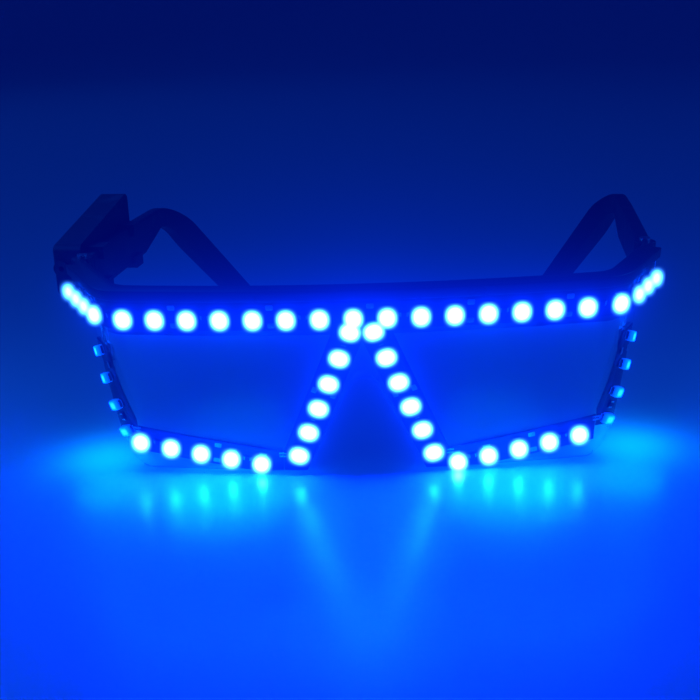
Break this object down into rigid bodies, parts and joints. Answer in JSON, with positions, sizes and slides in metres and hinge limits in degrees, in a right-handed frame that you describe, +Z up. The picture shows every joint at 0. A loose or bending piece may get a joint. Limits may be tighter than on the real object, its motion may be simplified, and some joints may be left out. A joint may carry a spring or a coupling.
{
  "type": "light up party glasses",
  "caption": "Wrap-round clear visor glasses edged with square lamps, folding arms with ear hooks and a rechargeable control box on one arm.",
  "frame": {"origin": "middle of the upper row of lamps, on the visor's front face, midway between the two hinges", "axes": "+X to the right as seen from the front, along the front's width; +Y back towards the arms; +Z up"},
  "size_m": [0.1764, 0.1556, 0.064],
  "materials": {
    "clear_visor": "clear polished polycarbonate",
    "clear_soft": "clear soft plastic, slightly hazy",
    "black_frame": "black moulded plastic, semi-gloss",
    "black_arm": "black moulded plastic, satin",
    "black_box": "black moulded plastic, fine spark texture",
    "black_strip": "black flexible circuit film with tinned pads",
    "lamp_white": "white lamp housing",
    "lamp_glow": "lit lamp window, blue-white",
    "steel": "plated steel",
    "solder": "tinned copper",
    "green_board": "green circuit board",
    "silver_pouch": "foil pouch of the cell",
    "chip_black": "epoxy chip package",
    "switch_black": "switch case",
    "slider_black": "ribbed black slider",
    "button_rubber": "soft black rubber"
  },
  "bodies": {
    "front": {"bottom_lamp_housings": "lamp_white", "bottom_lamp_windows": "lamp_glow", "bottom_strip_left": "black_strip", "bottom_strip_right": "black_strip", "brow_bar": "black_frame", "hinge_screw_left": "steel", "hinge_screw_right": "steel", "nose_lamp_housings": "lamp_white", "nose_lamp_windows": "lamp_glow", "nose_piece": "clear_soft", "nose_strip_left": "black_strip", "nose_strip_right": "black_strip", "resistors": "chip_black", "side_lamp_housings": "lamp_white", "side_lamp_windows": "lamp_glow", "side_strip_left": "black_strip", "side_strip_right": "black_strip", "strip_links": "solder", "top_lamp_housings": "lamp_white", "top_lamp_windows": "lamp_glow", "top_strip": "black_strip", "visor": "clear_visor"},
    "arm_left": {"arm_left": "black_arm", "box_base": "black_box", "box_cover": "black_box", "cover_screws": "steel", "circuit_board": "green_board", "battery_cell": "silver_pouch", "controller_chip": "chip_black", "button_switch": "switch_black", "charging_socket": "steel", "slide_switch": "steel", "lead_grommet": "button_rubber"},
    "arm_right": {"arm_right": "black_arm"},
    "mode_button": {"mode_button": "button_rubber"},
    "power_slider": {"power_slider": "slider_black"}
  },
  "joints": [
    {"name": "left_arm_fold", "type": "hinge", "parent": "front", "child": "arm_left", "pos_m": [-0.07851, 0.03814, 0], "axis": [0, 0, -1], "range_deg": [-14.5, 63.5]},
    {"name": "right_arm_fold", "type": "hinge", "parent": "front", "child": "arm_right", "pos_m": [0.07851, 0.03814, 0], "axis": [0, 0, 1], "range_deg": [-1.5, 90.5]},
    {"name": "mode_button_press", "type": "slide", "parent": "arm_left", "child": "mode_button", "axis": [0.9936, -0.1132, 0], "range_m": [0, 0.0006], "stiffness_N_per_m": 2500, "springref_m": -0.0002},
    {"name": "power_slide", "type": "slide", "parent": "arm_left", "child": "power_slider", "axis": [0, 0, 1], "range_m": [0, 0.002]}
  ]
}
